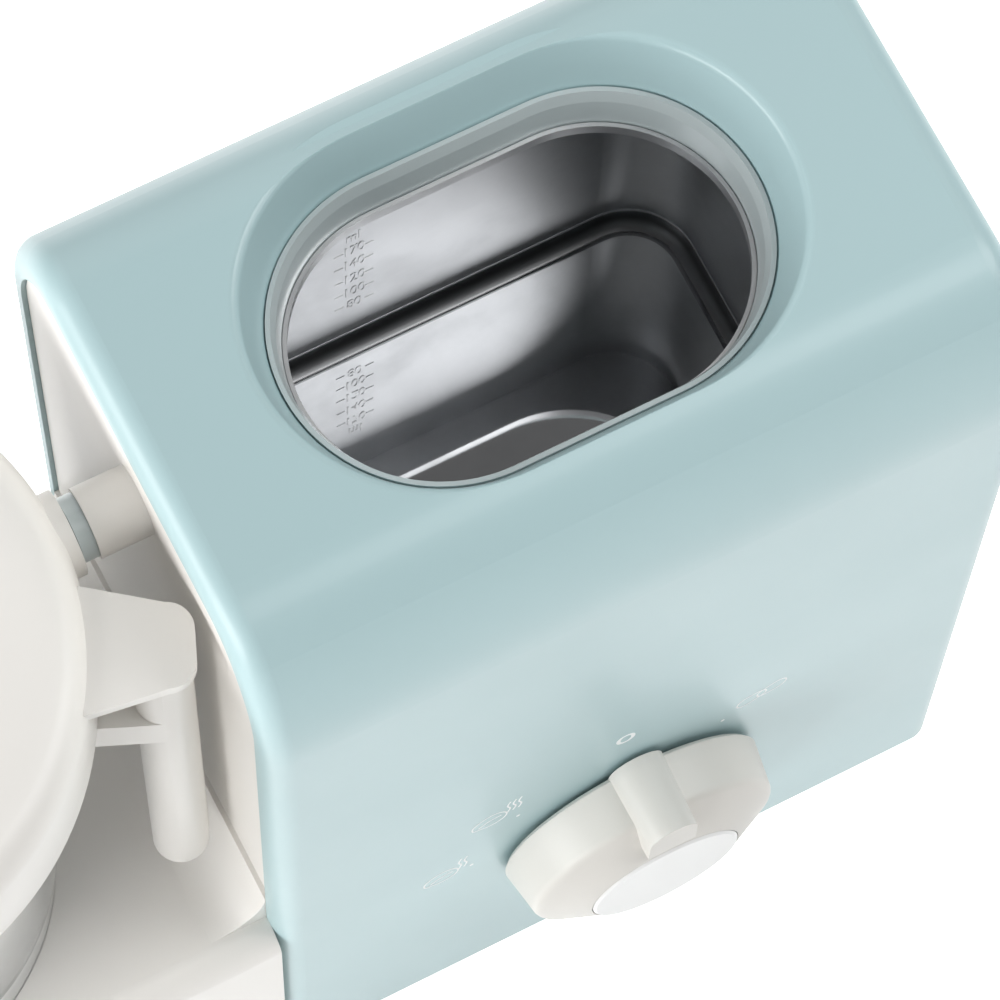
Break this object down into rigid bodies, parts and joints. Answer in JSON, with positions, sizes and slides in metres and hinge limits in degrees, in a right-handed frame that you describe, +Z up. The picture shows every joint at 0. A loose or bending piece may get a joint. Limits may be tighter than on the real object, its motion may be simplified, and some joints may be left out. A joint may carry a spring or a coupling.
{
  "type": "baby food maker",
  "caption": "Steam cooker and blender: a coloured tower with an open steel water tank and a turning knob beside a lidded blending bowl on a motor base.",
  "frame": {"origin": "middle of the whole machine's footprint, on the surface it stands on", "axes": "+X to the right seen from the knob's side, +Y to the back, +Z up"},
  "size_m": [0.294, 0.1312, 0.238],
  "materials": {
    "shell_paint": "eucalyptus, soft satin",
    "white_plastic": "warm white, satin",
    "inner_plastic": "natural",
    "grey_silicone": "translucent grey",
    "steel": "fine satin",
    "aluminium": "cast",
    "heater_sheath": "dull",
    "brass": "sintered",
    "ceramic": "ceramic body",
    "dark_plastic": "dark",
    "board_green": "circuit board",
    "board_blue": "component cases",
    "motor_steel": "grey",
    "black_rubber": "matt",
    "clear_plastic": "clear"
  },
  "bodies": {
    "machine": {"tower_shell": "shell_paint", "side_panel_left": "white_plastic", "side_panel_right": "white_plastic", "tank_gasket": "grey_silicone", "tank_collar": "steel", "tank_pan": "steel", "tank_frame": "inner_plastic", "heat_plate": "aluminium", "heating_tube": "heater_sheath", "thermostat": "ceramic", "thermal_fuse": "brass", "steam_tube": "grey_silicone", "steam_nozzle": "white_plastic", "nozzle_seal": "grey_silicone", "rotary_switch": "dark_plastic", "control_board": "board_green", "board_parts": "board_blue", "board_spacers": "inner_plastic", "cord_gland": "white_plastic", "base_tray": "inner_plastic", "feet": "black_rubber", "tray_screws": "steel", "motor_base": "white_plastic", "motor_plate": "steel", "plate_screws": "steel", "motor_can": "motor_steel", "shaft_bush": "brass", "shaft_lip_seal": "black_rubber", "microswitch": "dark_plastic"},
    "knob": {"knob": "white_plastic", "knob_cap": "white_plastic", "switch_shaft": "steel"},
    "rotor": {"motor_shaft": "steel", "cooling_fan": "dark_plastic", "drive_coupling": "dark_plastic"},
    "interlock": {"interlock_pin": "inner_plastic"},
    "bowl": {"bowl_jar": "clear_plastic", "bowl_handle": "white_plastic", "blade_bush": "brass", "bowl_grommet": "black_rubber"},
    "blades": {"blade_shaft": "steel", "blade_set": "steel", "blade_nut": "white_plastic", "driven_coupling": "dark_plastic"},
    "basket": {"steam_basket": "white_plastic"},
    "lid": {"lid_cap": "white_plastic", "lid_plate": "inner_plastic", "lid_seal": "grey_silicone", "lid_vent_plug": "clear_plastic"}
  },
  "joints": [
    {"name": "knob_turn", "type": "hinge", "parent": "machine", "child": "knob", "pos_m": [0.0695, -0.04816, 0.0696], "axis": [0, -1, 0], "range_deg": [-40, 74]},
    {"name": "motor_spin", "type": "hinge", "parent": "machine", "child": "rotor", "pos_m": [-0.0825, 0.00584, 0.05], "axis": [0, 0, 1], "continuous": true},
    {"name": "bowl_lift", "type": "slide", "parent": "machine", "child": "bowl", "axis": [0, 0, 1], "range_m": [0, 0.15]},
    {"name": "blade_spin", "type": "hinge", "parent": "bowl", "child": "blades", "pos_m": [-0.0825, 0.00584, 0.11], "axis": [0, 0, 1], "continuous": true},
    {"name": "interlock_press", "type": "slide", "parent": "machine", "child": "interlock", "axis": [0, 0, 1], "range_m": [0, 0.0015]},
    {"name": "lid_lift", "type": "slide", "parent": "bowl", "child": "lid", "axis": [0, 0, 1], "range_m": [0, 0.16]},
    {"name": "basket_lift", "type": "slide", "parent": "bowl", "child": "basket", "axis": [0, 0, 1], "range_m": [0, 0.09]}
  ],
  "couplings": [
    {"joint": "blade_spin", "follows": "motor_spin", "ratio": 1},
    {"joint": "interlock_press", "follows": "bowl_lift", "ratio": 0.01},
    {"joint": "basket_lift", "follows": "lid_lift", "ratio": 0.5625}
  ]
}
